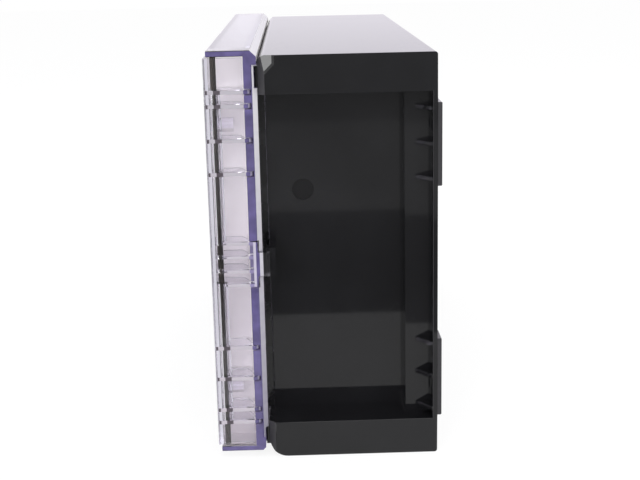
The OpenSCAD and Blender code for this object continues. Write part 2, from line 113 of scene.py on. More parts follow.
class EnclosureSizes(bpy.types.PropertyGroup):
    """Sizes of the dressed enclosure, in metres"""

    body_edge: bpy.props.FloatProperty(
        name="Body edge radius", description="Rounding of the moulded body's small edges",
        default=0.45 * MM, min=0.05 * MM, max=1.0 * MM, unit="LENGTH")
    facet_height: bpy.props.FloatProperty(
        name="Facet height", description="Height of the slanted corner facet of the locking end",
        default=10.4 * MM, min=5 * MM, max=15 * MM, unit="LENGTH")
    facet_width: bpy.props.FloatProperty(
        name="Facet width", description="Width of the corner facet",
        default=6.8 * MM, min=4 * MM, max=10 * MM, unit="LENGTH")
    # The margin is painted dull and darker: painted shade that trims the facet's reflected patch.
    facet_margin: bpy.props.FloatProperty(
        name="Facet margin", description="Dull margin along the inner borders of the corner facet",
        default=1.05 * MM, min=0.2 * MM, max=3 * MM, unit="LENGTH")
    recess_depth: bpy.props.FloatProperty(
        name="Recess depth", description="Depth of the deep part of the end recesses",
        default=20 * MM, min=15 * MM, max=25 * MM, unit="LENGTH")
    mark_from_cover: bpy.props.FloatProperty(
        name="Mark position", description="Distance of the round moulding mark behind the cover",
        default=17.3 * MM, min=10 * MM, max=25 * MM, unit="LENGTH")
    mark_height: bpy.props.FloatProperty(
        name="Mark height", description="Height of the round moulding mark",
        default=112 * MM, min=90 * MM, max=130 * MM, unit="LENGTH")
    cover_edge: bpy.props.FloatProperty(
        name="Cover edge radius", description="Rounding of the clear cover's edges",
        default=0.3 * MM, min=0.05 * MM, max=0.6 * MM, unit="LENGTH")
    bar_edge: bpy.props.FloatProperty(
        name="Bar edge radius", description="Rounding of the locking bar's edges",
        default=0.2 * MM, min=0.05 * MM, max=0.5 * MM, unit="LENGTH")
    gusset_pitch: bpy.props.FloatProperty(
        name="Gusset pitch", description="Spacing of the three gussets of an ear",
        default=14.5 * MM, min=12 * MM, max=16 * MM, unit="LENGTH")
    gusset_thickness: bpy.props.FloatProperty(
        name="Gusset thickness", description="Thickness of a gusset",
        default=1.9 * MM, min=1 * MM, max=3 * MM, unit="LENGTH")
    ear_middle: bpy.props.FloatProperty(
        name="Ear middle", description="Height of an ear's middle above the body's side",
        default=35.5 * MM, min=30 * MM, max=45 * MM, unit="LENGTH")
    ear_drop: bpy.props.FloatProperty(
        name="Ear drop", description="How far the ears sit below the body's middle",
        default=1.5 * MM, min=0.0, max=3 * MM, unit="LENGTH")
    ear_thickness: bpy.props.FloatProperty(
        name="Ear thickness", description="Thickness of an ear pad behind its gussets",
        default=3.8 * MM, min=2 * MM, max=5 * MM, unit="LENGTH")
    # The ears' ends are painted a lighter grey: painted sheen.
    ear_stand: bpy.props.FloatProperty(
        name="Ear stand-out", description="How far the rubbed ends of the ears stand out behind the back",
        default=1.75 * MM, min=0.5 * MM, max=2.5 * MM, unit="LENGTH")
    cover_wall: bpy.props.FloatProperty(
        name="Cover wall", description="Wall thickness of the cover's long sides",
        default=2.4 * MM, min=1.5 * MM, max=4 * MM, unit="LENGTH")
    chamfer: bpy.props.FloatProperty(
        name="Cover chamfer", description="Chamfer on the cover's back edges",
        default=2.5 * MM, min=1 * MM, max=4 * MM, unit="LENGTH")
    pocket_depth: bpy.props.FloatProperty(
        name="Pocket depth", description="Depth of the cover's end pocket",
        default=14 * MM, min=10 * MM, max=18 * MM, unit="LENGTH")
    # The groove strip and the long chamfers are painted pale: painted light.
    groove: bpy.props.FloatProperty(
        name="Groove depth",
        description="Depth to which the groove beside the cover's long chamfers is bright",
        default=2.0 * MM, min=0.5 * MM, max=3 * MM, unit="LENGTH")
    land: bpy.props.FloatProperty(
        name="Cover land", description="Thickness of the land round the back of the cover",
        default=5.3 * MM, min=4 * MM, max=7 * MM, unit="LENGTH")
    notch_depth: bpy.props.FloatProperty(
        name="Notch depth", description="Depth of the notches in the land, from the cover's end",
        default=7 * MM, min=4 * MM, max=10 * MM, unit="LENGTH")
    bright_width: bpy.props.FloatProperty(
        name="Bright width", description="Width of the bright part of the cover's end chamfer",
        default=1.9 * MM, min=1 * MM, max=2.5 * MM, unit="LENGTH")
    strip_front: bpy.props.FloatProperty(
        name="Strip front", description="Distance of the grip's white strip from the back of the cover",
        default=3.75 * MM, min=2 * MM, max=5 * MM, unit="LENGTH")
    strip_width: bpy.props.FloatProperty(
        name="Strip width", description="Width of the grip's white strip",
        default=1.1 * MM, min=0.5 * MM, max=2 * MM, unit="LENGTH")


class EnclosureColours(bpy.types.PropertyGroup):
    """Colours of the dressed enclosure, as sRGB hex values"""

    body: bpy.props.StringProperty(
        name="Body", description="Black moulded plastic of the body", default="#131315")
    clear: bpy.props.StringProperty(
        name="Clear plastic", description="Face colour of the clear cover", default="#fdfcff")
    # Painted glow: the clear plastic's end edges are painted this opaque violet, standing in for light piped
    # along the wall.
    edge: bpy.props.StringProperty(
        name="Clear edge", description="Tint of the clear plastic seen through its length", default="#544c78")
    # The pocket wall is textured; its paler top is painted light.
    frost_high: bpy.props.StringProperty(
        name="Frosted wall, upper", description="Upper end of the textured pocket wall", default="#e9e4e4")
    frost_low: bpy.props.StringProperty(
        name="Frosted wall, lower", description="Lower end of the textured pocket wall", default="#c7c0c4")
    # On the rib noses this white is a painted glint.
    grip: bpy.props.StringProperty(
        name="Grip", description="White strip along the bar's grip and its noses", default="#aea9ba")
    # Painted light: a lighter copy of the violet glow, painted in the notches and on the land against their
    # shade.
    lit_glow_tint: bpy.props.StringProperty(
        name="Haze", description="Hazed ends of the bar's ribs", default="#7d749b")
    # Painted light: pale bands standing in for the clear ribs seen through the outer wall, paler on the lower
    # ribs.
    rib_high: bpy.props.StringProperty(
        name="Rib roots, upper", description="Milky bands where the upper ribs meet the bar's outer wall",
        default="#a19da5")
    rib_low: bpy.props.StringProperty(
        name="Rib roots, lower", description="Milky bands where the lower ribs meet the bar's outer wall",
        default="#b2abb4")
    # Painted image of the dark rod, seen refracted in the rib ends.
    shade: bpy.props.StringProperty(
        name="Shaded ribs", description="Ends of the ribs that the dark rod shows through", default="#443b44")
    # Painted sheen: a lighter grey on the locking end's chamfers and the ears' ends, standing in for the
    # light that they reflect.
    painted_sheen: bpy.props.StringProperty(
        name="Burnished edge", description="Rubbed chamfers of the body's locking end", default="#39383b")
    # Painted light: the chamfer is painted pale at the top and violet grey lower down.
    chamfer_high: bpy.props.StringProperty(
        name="Chamfer, upper", description="Upper end of the cover's bright chamfer", default="#c9c7cc")
    chamfer_low: bpy.props.StringProperty(
        name="Chamfer, lower", description="Lower end of the cover's bright chamfer", default="#8a8696")
    seal: bpy.props.StringProperty(
        name="Seal", description="Black rubber of the seal", default="#131314")
    rod: bpy.props.StringProperty(
        name="Rod", description="Dark steel of the bar's rod", default="#38332f")
    pin: bpy.props.StringProperty(
        name="Pins", description="Ground steel of the hinge pins", default="#b9b9bc")
    floor: bpy.props.StringProperty(
        name="Floor", description="Pale floor and background", default="#f7f7f8")


def sizes():
    """Sizes set in the scene."""
    return bpy.context.scene.enclosure_sizes


def colours():
    """Colours set in the scene."""
    return bpy.context.scene.enclosure_colours


def linear(hex_text):
    """Linear RGBA of an sRGB hex value."""
    parts = [int(hex_text[i:i + 2], 16) / 255 for i in (1, 3, 5)]
    return [c / 12.92 if c <= 0.04045 else ((c + 0.055) / 1.055) ** 2.4 for c in parts] + [1.0]


def scaled(colour, factor, lift=0.0):
    """Linear RGBA with its light scaled and lifted."""
    return [c * factor + lift for c in colour[:3]] + [1.0]


def add_node(tree, kind, settings=None, values=None, links=None):
    """Adds a node, sets its properties and socket values, and links its inputs."""
    made = tree.nodes.new(kind)
    for key, value in (settings or {}).items():
        setattr(made, key, value)
    for key, value in (values or {}).items():
        made.inputs[key].default_value = value
    for key, output in (links or {}).items():
        tree.links.new(output, made.inputs[key])
    return made


def new_material(name):
    """Empty node material: itself, its tree, its output node and the place on the object."""
    material = bpy.data.materials.new(name)
    material.use_nodes = True
    tree = material.node_tree
    tree.nodes.clear()
    output = tree.nodes.new("ShaderNodeOutputMaterial")
    place = add_node(tree, "ShaderNodeTexCoord").outputs["Object"]
    return material, tree, output, place


def noise(tree, place, size, detail):
    """Noise whose features have a real size."""
    made = add_node(tree, "ShaderNodeTexNoise", values={"Scale": 1 / size, "Detail": detail},
                    links={"Vector": place})
    return made.outputs["Fac"]


def ramp(tree, factor, low, high, colour_low, colour_high):
    """Colour ramp between two places of a factor."""
    made = add_node(tree, "ShaderNodeValToRGB", links={"Fac": factor})
    made.color_ramp.elements[0].position = low
    made.color_ramp.elements[1].position = high
    made.color_ramp.elements[0].color = colour_low
    made.color_ramp.elements[1].color = colour_high
    return made.outputs["Color"]


def spread(tree, value, from_low, from_high, low=0.0, high=1.0):
    """Spreads a part of a value's range over a new range."""
    made = add_node(tree, "ShaderNodeMapRange", links={"Value": value},
                    values={"From Min": from_low, "From Max": from_high, "To Min": low, "To Max": high})
    return made.outputs["Result"]


def relief(tree, height, strength, depth):
    """Shading normal of a fine relief."""
    made = add_node(tree, "ShaderNodeBump", values={"Strength": strength, "Distance": depth},
                    links={"Height": height})
    return made.outputs["Normal"]


def height_on_cover(tree, place, pattern, share):
    """Height on the cover from 0 to 1, stirred by a share of a pattern."""
    height = add_node(tree, "ShaderNodeSeparateXYZ", links={"Vector": place})
    rise = spread(tree, height.outputs["Z"], COVER_LOW.z, COVER_HIGH.z)
    stirred = add_node(tree, "ShaderNodeMath", settings={"operation": "MULTIPLY_ADD"}, values={1: share},
                       links={0: pattern, 2: rise})
    return stirred.outputs[0]


def surface(tree, output, values, links):
    """Adds the surface shader of a material."""
    shader = add_node(tree, "ShaderNodeBsdfPrincipled", values=values, links=links)
    tree.links.new(shader.outputs["BSDF"], output.inputs["Surface"])


def moulded_black(name, gleam):
    """Injection-moulded black polycarbonate from a polished tool.

    It gives the eye a deep black with sharp, weak reflections and faint flow clouding.
    """
    material, tree, output, place = new_material(name)
    # Flow clouding of the melt, about 30 mm wide.
    cloud = noise(tree, place, 30 * MM, 3.0)
    # Dust and fine scuffs, a few tenths of a millimetre wide, drawn at 1.2 mm so that they show.
    dust = noise(tree, place, 1.2 * MM, 3.0)
    base = linear(colours().body)
    colour = ramp(tree, cloud, 0.35, 0.7, base, scaled(base, 1.3, 0.0012))
    gloss = spread(tree, dust, 0.55, 0.75, 0.045, 0.16)
    surface(tree, output, {"IOR": PC_IOR, "Specular IOR Level": gleam},
            {"Base Color": colour, "Roughness": gloss, "Normal": relief(tree, cloud, 0.02, 0.05 * MM)})
    return material


def insert_mark_and_painted_shade():
    """The same polycarbonate where a turned insert met it: fine rings leave it duller and darker. The same
    dull dark finish is painted on the catch and on the corner facet's margin as painted shade.
    """
    material, tree, output, place = new_material("turned_mark_and_painted_shade_polycarbonate")
    # Turning marks about 0.2 mm apart, drawn as a grain of 0.6 mm so that they show.
    grain = noise(tree, place, 0.6 * MM, 2.0)
    base = linear(colours().body)
    colour = ramp(tree, grain, 0.3, 0.7, scaled(base, 0.6), base)
    surface(tree, output, {"Roughness": 0.42, "IOR": PC_IOR, "Specular IOR Level": 0.26},
            {"Base Color": colour})
    return material


def sheen_painted_edge():
    """Painted sheen: the same polycarbonate painted a dull dark grey, lighter than the body, on the locking
    end's chamfers and the ears' ends, standing in for the light that they reflect.
    """
    material, tree, output, place = new_material("sheen_painted_polycarbonate")
    # Flecks of uneven tone, drawn at 1 mm so that they show.
    rub = noise(tree, place, 1 * MM, 2.0)
    base = linear(colours().painted_sheen)
    colour = ramp(tree, rub, 0.3, 0.7, scaled(base, 0.85), base)
    surface(tree, output, {"Roughness": 0.5, "IOR": PC_IOR, "Specular IOR Level": 0.2},
            {"Base Color": colour})
    return material


def clear_plastic(name, roughness):
    """Clear injection-moulded polycarbonate with a faint violet body tint.

    Thin walls look colourless and long paths through it look violet; polished faces ripple slightly.
    """
    material, tree, output, place = new_material(name)
    # Sink and flow ripples of the moulding, about 12 mm from crest to crest.
    ripple = noise(tree, place, 12 * MM, 1.0)
    surface(tree, output, {"Base Color": linear(colours().clear), "Roughness": roughness, "IOR": PC_IOR,
                           "Transmission Weight": 1.0},
            {"Normal": relief(tree, ripple, 0.05, 0.1 * MM)})
    # The tint, and how much of the other light a metre of it takes away.
    body = add_node(tree, "ShaderNodeVolumeAbsorption",
                    values={"Color": (0.36, 0.31, 0.57, 1.0), "Density": 26.0})
    tree.links.new(body.outputs["Volume"], output.inputs["Volume"])
    return material


def textured_or_light_painted_plastic(name, low, high):
    """Clear polycarbonate where the tool was textured: it scatters light, so that it looks pale and cloudy.
    The same opaque colour also paints looks of the clear plastic: the rod's dark image, pale rib roots, the
    grip's glints and a lighter violet against shade.

    Its colour runs from the lower to the upper colour with height; on the pocket wall the paler top is
    painted light, where more of the studio's light gets in.
    """
    material, tree, output, place = new_material(name)
    # Clouds of uneven texture, about 15 mm wide.
    cloud = noise(tree, place, 15 * MM, 2.0)
    colour = ramp(tree, height_on_cover(tree, place, cloud, 0.2), 0.1, 1.0, linear(low), linear(high))
    surface(tree, output, {"Roughness": 0.5, "IOR": PC_IOR}, {"Base Color": colour})
    return material


def painted_glow_edge():
    """End edges of the clear polycarbonate, painted an opaque violet: a painted glow standing in for light
    that has run the length of the wall.

    The dusky violet glow is painted lighter in soft bands across the edge.
    """
    material, tree, output, place = new_material("clear_polycarbonate_painted_glow")
    # Painted bands of lighter glow, about 6 mm apart.
    band = noise(tree, place, 6 * MM, 2.0)
    base = linear(colours().edge)
    colour = ramp(tree, band, 0.3, 0.72, scaled(base, 0.72), scaled(base, 1.25))
    surface(tree, output, {"Roughness": 0.18, "IOR": PC_IOR}, {"Base Color": colour})
    return material


def painted_light_chamfer():
    """Chamfered end edge of the clear polycarbonate, painted pale: painted light standing in for light piped
    up the wall that leaves there.

    It is painted pale at the top and fades to a violet grey lower down.
    """
    material, tree, output, place = new_material("clear_polycarbonate_painted_light")
    # Painted streaks of lighter tone, about 3 mm long.
    streak = noise(tree, place, 3 * MM, 2.0)
    colour = ramp(tree, height_on_cover(tree, place, streak, 0.25), 0.1, 1.0,
                  linear(colours().chamfer_low), linear(colours().chamfer_high))
    surface(tree, output, {"Roughness": 0.25, "IOR": PC_IOR}, {"Base Color": colour})
    return material


def rubber():
    """Moulded black rubber from a polished tool.

    It has a smooth skin, with a faint bloom that greys it in patches.
    """
    material, tree, output, place = new_material("moulded_black_rubber")
    # Patches of bloom, about 9 mm wide.
    bloom = noise(tree, place, 9 * MM, 4.0)
    # Skin of the rubber, about 0.5 mm grain.
    grain = noise(tree, place, 0.5 * MM, 2.0)
    base = linear(colours().seal)
    colour = ramp(tree, bloom, 0.35, 0.75, base, scaled(base, 1.6, 0.004))
    surface(tree, output, {"Roughness": 0.1, "IOR": 1.52, "Specular IOR Level": 0.35},
            {"Base Color": colour, "Normal": relief(tree, grain, 0.03, 0.05 * MM)})
    return material


def drawn_steel(name, hex_text, roughness):
    """Drawn steel: fine lines along its length break up the reflections."""
    material, tree, output, place = new_material(name)
    # Draw lines about 0.15 mm apart that run 20 mm along Z.
    lines = add_node(tree, "ShaderNodeMapping", links={"Vector": place},
                     values={"Scale": (1 / (0.15 * MM), 1 / (0.15 * MM), 1 / (20 * MM))})
    streak = noise(tree, lines.outputs["Vector"], 1.0, 2.0)
    base = linear(hex_text)
    colour = ramp(tree, streak, 0.3, 0.7, scaled(base, 0.8), base)
    gloss = spread(tree, streak, 0.0, 1.0, roughness - 0.06, roughness + 0.08)
    surface(tree, output, {"Metallic": 1.0}, {"Base Color": colour, "Roughness": gloss})
    return material


def light_paths(tree):
    """Tells paths that see the stage straight or through clear plastic, and those that gloss mirrors."""
    path = add_node(tree, "ShaderNodeLightPath")
    seen = add_node(tree, "ShaderNodeMath", settings={"operation": "MAXIMUM"},
                    links={0: path.outputs["Is Camera Ray"], 1: path.outputs["Is Transmission Ray"]})
    return seen.outputs[0], path.outputs["Is Glossy Ray"]


def blend(tree, share, first, second):
    """Mixes two shaders."""
    return add_node(tree, "ShaderNodeMixShader", links={0: share, 1: first, 2: second}).outputs["Shader"]


def studio_paper():
    """Matt white paper sweep: a plain pale floor that keeps the object's shadow.

    The paper ends in front of the part; the gloss of the part also picks up the dark
    table edge there and the dim room beyond it.
    """
    material, tree, output, place = new_material("white_paper_sweep")
    # Clouds of paper fibre, about 4 mm wide.
    fibre = noise(tree, place, 4 * MM, 3.0)
    base = linear(colours().floor)
    colour = ramp(tree, fibre, 0.3, 0.7, scaled(base, 0.985), base)
    paper = add_node(tree, "ShaderNodeBsdfDiffuse", links={"Color": colour})
    # Most of what is seen of the floor is evenly lit paper; the rest keeps the shadow.
    glow = add_node(tree, "ShaderNodeEmission", values={"Strength": 1.04})
    seen, glossy = light_paths(tree)
    share = add_node(tree, "ShaderNodeMath", settings={"operation": "MULTIPLY"}, values={1: 0.82},
                     links={0: seen})
    sweep = blend(tree, share.outputs[0], paper.outputs["BSDF"], glow.outputs["Emission"])
    along = add_node(tree, "ShaderNodeSeparateXYZ", links={"Vector": place})
    reach = spread(tree, along.outputs["Y"], -FLOOR_HALF, 0.0)
    front = add_node(tree, "ShaderNodeValToRGB", links={"Fac": reach})
    front.color_ramp.interpolation = "CONSTANT"
    tones = front.color_ramp.elements
    tones[0].color = (ROOM_TONE, ROOM_TONE, ROOM_TONE, 1.0)
    for y, level in FRONT_TONES:
        tones.new(1 + y / FLOOR_HALF).color = (level, level, level, 1.0)
    tones.remove(tones[-1])
    mirrored = add_node(tree, "ShaderNodeEmission", links={"Color": front.outputs["Color"]})
    both = blend(tree, glossy, sweep, mirrored.outputs["Emission"])
    tree.links.new(both, output.inputs["Surface"])
    return material


def mesh_object(name, mesh):
    """Object of a mesh, linked to the scene."""
    made = bpy.data.objects.new(name, mesh)
    bpy.context.scene.collection.objects.link(made)
    return made


def plain_mesh(piece):
    """Turns the evaluated piece into a plain mesh and drops its modifiers."""
    bpy.context.view_layer.update()
    evaluated = piece.evaluated_get(bpy.context.evaluated_depsgraph_get())
    mesh = bpy.data.meshes.new_from_object(evaluated)
    piece.modifiers.clear()
    old = piece.data
    piece.data = mesh
    mesh.name = piece.name
    bpy.data.meshes.remove(old)
    return piece


def with_room(edges):
    """Edges that can be rounded: those beside a short edge that stays as it is are left out."""
    while True:
        picked = {edge.index for edge in edges}
        kept = [edge for edge in edges
                if not any(other.index not in picked and other.calc_length() < SHORTEST_EDGE
                           for vert in edge.verts for other in vert.link_edges)]
        if len(kept) == len(edges):
            return kept
        edges = kept


def rib_levels():
    """Heights of the lower and upper faces of the bar's ribs and ridges, from its CAD node."""
    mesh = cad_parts["locking_bar"].data
    wall, smallest = 3 * MM, 2 * MM * MM
    levels = set()
    for face in mesh.polygons:
        inside = face.center.y > BAR_LOW.y + wall and face.center.x > BAR_LOW.x + wall
        if inside and abs(face.normal.z) > EXACTLY and face.area > smallest:
            levels.add((round(face.center.z, 5), face.normal.z > 0))
    lower = sorted(z for z, up in levels if not up)
    upper = sorted(z for z, up in levels if up)
    return [(low, min(z for z in upper if z > low)) for low in lower if upper and upper[-1] > low]


def softened_copy(node, name, radius, segments, test, cuts=(), crisp=()):
    """Copy of a CAD node with merged faces and rounded outward edges.

    The test picks edges by their two ends, their middle and their length. Each cut gives a point
    of a plane, its normal and the way that the faces it splits look, or None for all faces.
    Faces that look in a direction in crisp keep sharp borders.
    """
    work = bmesh.new()
    work.from_mesh(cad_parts[node].data)
    bmesh.ops.remove_doubles(work, verts=work.verts, dist=SAME_POINT)
    bmesh.ops.dissolve_limit(work, angle_limit=SAME_FACE, use_dissolve_boundaries=False,
                             verts=work.verts, edges=work.edges)
    sharp = []
    work.edges.index_update()
    for edge in work.edges:
        if edge.is_manifold and edge.is_convex and edge.calc_face_angle() > SHARP_ANGLE:
            ends = [vert.co for vert in edge.verts]
            if test(ends, (ends[0] + ends[1]) / 2, edge.calc_length()):
                sharp.append(edge)
    bmesh.ops.bevel(work, geom=with_room(sharp), offset=radius, segments=segments, profile=0.5,
                    affect="EDGES", clamp_overlap=False)
    for point, normal, way in cuts:
        work.normal_update()
        split = [face for face in work.faces if way is None or face.normal.dot(way) > CLOSELY]
        parts = dict.fromkeys(part for face in split for part in (face, *face.edges, *face.verts))
        bmesh.ops.bisect_plane(work, geom=list(parts), plane_co=point, plane_no=normal)
    work.normal_update()
    for face in work.faces:
        face.smooth = True
    for edge in work.edges:
        border = any(face.normal.dot(way) > EXACTLY for face in edge.link_faces for way in crisp)
        edge.smooth = edge.calc_face_angle() < SMOOTH_ANGLE and not border
    mesh = bpy.data.meshes.new(name)
    work.to_mesh(mesh)
    work.free()
    mesh.materials.clear()
    piece = mesh_object(name, mesh)
    weighted = piece.modifiers.new("normals", "WEIGHTED_NORMAL")
    weighted.keep_sharp = True
    plain_mesh(piece)
    return piece


def at_depth(x):
    """Cut through all faces at one depth."""
    return (x, 0, 0), (1, 0, 0), None


class ENCLOSURE_OT_body(bpy.types.Operator):
    """Makes the black moulded body with softened edges"""

    bl_idname = "enclosure.body"
    bl_label = "Black body"

    def execute(self, context):
        front_x = COVER_HIGH.x
        facet_high, facet_wide = sizes().facet_height, sizes().facet_width
        # How far the facet and the chamfered posts reach, the shortest edge of a post, and how far from
        # the long sides the end outlines are rounded.
        facet_end_x, facet_end_y = front_x + facet_wide + 0.5 * MM, -END_Y + 2.5 * MM
        post_end_x, post_end_y, shortest_post = front_x + 4 * MM, -END_Y + 4 * MM, 3 * MM
        outline_zone = 9 * MM

        def plain_edge(ends, middle, length):
            """Long edges and the end outlines, away from the catch, the hinge lugs and the facet."""
            from_side = min(middle.z, BODY_HIGH.z - middle.z)
            catch = middle.x < FITTINGS_X and abs(middle.z - MIDDLE_Z) < CATCH_ROOT_HALF
            lugs = middle.x < FITTINGS_X and middle.y > END_Y - FITTINGS_REACH
            at_facet = (BODY_HIGH.z - middle.z < facet_high and middle.x < facet_end_x
                        and middle.y < facet_end_y and length < LONG_BODY_EDGE)
            at_end = all(abs(abs(end.y) - END_Y) < ON_LINE for end in ends)
            post = (at_end and abs(ends[0].x - ends[1].x) < ON_LINE
                    and middle.x < post_end_x and length > shortest_post)
            plain = length > LONG_BODY_EDGE or (at_end and from_side < outline_zone)
            return post or (plain and not (catch or lugs or at_facet))

        facet = Vector((-1, -facet_high / FACET_DEPTH, 1)).normalized()
        ear_x = BODY_HIGH.x - sizes().ear_stand
        corner = Vector((front_x + FRONT_GAP, 0, BODY_HIGH.z))
        # The facet's slanted border runs at 45 degrees, so along an axis its margin is 1.4 times as wide.
        margin = sizes().facet_margin
        patch_wide, patch_high = facet_wide - margin, facet_high - 1.4 * margin
        cuts = (at_depth(ear_x), (corner + Vector((patch_wide, 0, 0)), (1, 0, 0), facet),
                (corner + Vector((patch_high, 0, 0)), (1, 0, -1), facet))
        body = softened_copy("enclosure_body", "moulded_body", sizes().body_edge, 3, plain_edge,
                             cuts=cuts, crisp=(facet,))
        black, dull, sheen_painted, polished = range(4)
        for material in (moulded_black("moulded_black_polycarbonate", gleam=0.32), insert_mark_and_painted_shade(),
                         sheen_painted_edge(), moulded_black("polished_black_polycarbonate", gleam=0.48)):
            body.data.materials.append(material)
        mark_x = COVER_HIGH.x + sizes().mark_from_cover
        mark_radius, mark_depth = 4.8 * MM, 1.0 * MM
        post_way, post_turn = Vector((-1, -1, 0)).normalized(), 0.97
        for face in body.data.polygons:
            where, way = face.center, face.normal
            across = Vector((where.x - mark_x, where.z - sizes().mark_height)).length
            sunk = abs(abs(where.y) - END_Y + sizes().recess_depth)
            mark = across < mark_radius and sunk < mark_depth
            # Painted shade: the catch in the recess is painted dull and darker.
            catch = (where.x < FITTINGS_X and abs(where.z - MIDDLE_Z) < CATCH_HALF
                     and where.y < -END_Y + FITTINGS_REACH and way.y > -ALONG)
            inward, down = where.x - corner.x, corner.z - where.z
            on_facet = way.dot(facet) > EXACTLY
            # Painted shade: the facet's margin is painted dull and darker, which trims its reflected patch.
            in_margin = on_facet and (inward > patch_wide or inward + down > patch_high)
            # Painted sheen: the chamfered posts and the ears' ends get the lighter grey, standing in for the
            # light that they reflect.
            on_post = way.dot(post_way) > post_turn and where.y < post_end_y
            on_ear = way.y < -ALONG and where.x > ear_x
            face.material_index = black
            if catch or mark or in_margin:
                face.material_index = dull
            elif on_facet:
                face.material_index = polished
            elif on_post or on_ear:
                face.material_index = sheen_painted
        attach(body, "enclosure")
        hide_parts("enclosure_body")
        return {"FINISHED"}


class ENCLOSURE_OT_cover(bpy.types.Operator):
    """Makes the clear cover with a painted violet glow on its end edges and a textured pocket wall"""

    bl_idname = "enclosure.cover"
    bl_label = "Clear cover"

    def execute(self, context):
        bright_x = COVER_HIGH.x - sizes().bright_width
        groove_low = COVER_LOW.z + sizes().chamfer + sizes().groove
        groove_high = COVER_HIGH.z - sizes().chamfer - sizes().groove
        back = Vector((1, 0, 0))
        cuts = [at_depth(bright_x)] + [((0, 0, z), (0, 0, 1), back) for z in (groove_low, groove_high)]
        cover = softened_copy("clear_cover", "clear_cover_shell", sizes().cover_edge, 2,
                              lambda ends, middle, length: length > LONG_COVER_EDGE, cuts=cuts)
        clear, violet, bright, frost_and_light_painted, lit_glow = range(5)
        for material in (clear_plastic("clear_polycarbonate", roughness=0.03), painted_glow_edge(),
                         painted_light_chamfer(),
                         textured_or_light_painted_plastic("frost_and_light_painted_polycarbonate", colours().frost_low, colours().frost_high),
                         textured_or_light_painted_plastic("lit_glow_polycarbonate", colours().lit_glow_tint, colours().lit_glow_tint)):
            cover.data.materials.append(material)
        pocket_y = -END_Y + sizes().pocket_depth
        notch_y = -END_Y + sizes().notch_depth
        floor_z = COVER_LOW.z + sizes().cover_wall
        land_x = COVER_HIGH.x - sizes().land
        # Level faces of the land outside these heights are the cover's own sides, not those of a notch.
        notch_low, notch_high, level = COVER_LOW.z + 3 * MM, COVER_HIGH.z - 3 * MM, 0.95
        # A chamfer's normal has at least the first share of each way it faces; a long chamfer counts
        # with the roundings beside it, down to the second share.
        slanted, rounded = 0.6, 0.3
        for face in cover.data.polygons:
            where, way = face.center, face.normal
            beside_chamfer = not groove_low < where.z < groove_high
            # End edges are painted violet glow; end chamfers are painted pale behind and violet glow in
            # front: painted light.
            end_edge = way.y < -ALONG and abs(where.y + END_Y) < ON_FACE
            pocket_floor = way.z > ALONG and abs(where.z - floor_z) < ON_FACE and where.y < pocket_y
            pocket_wall = abs(way.y) > ALONG and abs(where.y - pocket_y) < ON_FACE
            end_chamfer = way.x > slanted and way.y < -slanted and where.y < -END_Y + sizes().chamfer
            # Long chamfers and the groove strip beside them are painted pale: painted light where light
            # through the clear wall would show.
            long_chamfer = way.x > slanted and abs(way.z) > rounded and beside_chamfer
            groove = way.x > ALONG and where.x > COVER_HIGH.x - ON_FACE and beside_chamfer
            # Notches are painted the lighter violet against their shade, and pale at the grip: painted light.
            notch = (land_x + ON_LINE < where.x < COVER_HIGH.x - ON_LINE and where.y < notch_y
                     and (abs(way.z) < level or notch_low < where.z < notch_high))
            at_grip = abs(where.z - MIDDLE_Z) < GRIP_HALF
            face.material_index = clear
            if end_edge:
                face.material_index = violet
            elif pocket_floor or pocket_wall:
                face.material_index = frost_and_light_painted
            elif end_chamfer:
                face.material_index = bright if where.x > bright_x else violet
            elif long_chamfer:
                face.material_index = bright
            elif groove:
                face.material_index = frost_and_light_painted
            elif notch:
                face.material_index = bright if at_grip and where.x > bright_x else lit_glow
        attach(cover, "cover")
        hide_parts("clear_cover")
        return {"FINISHED"}


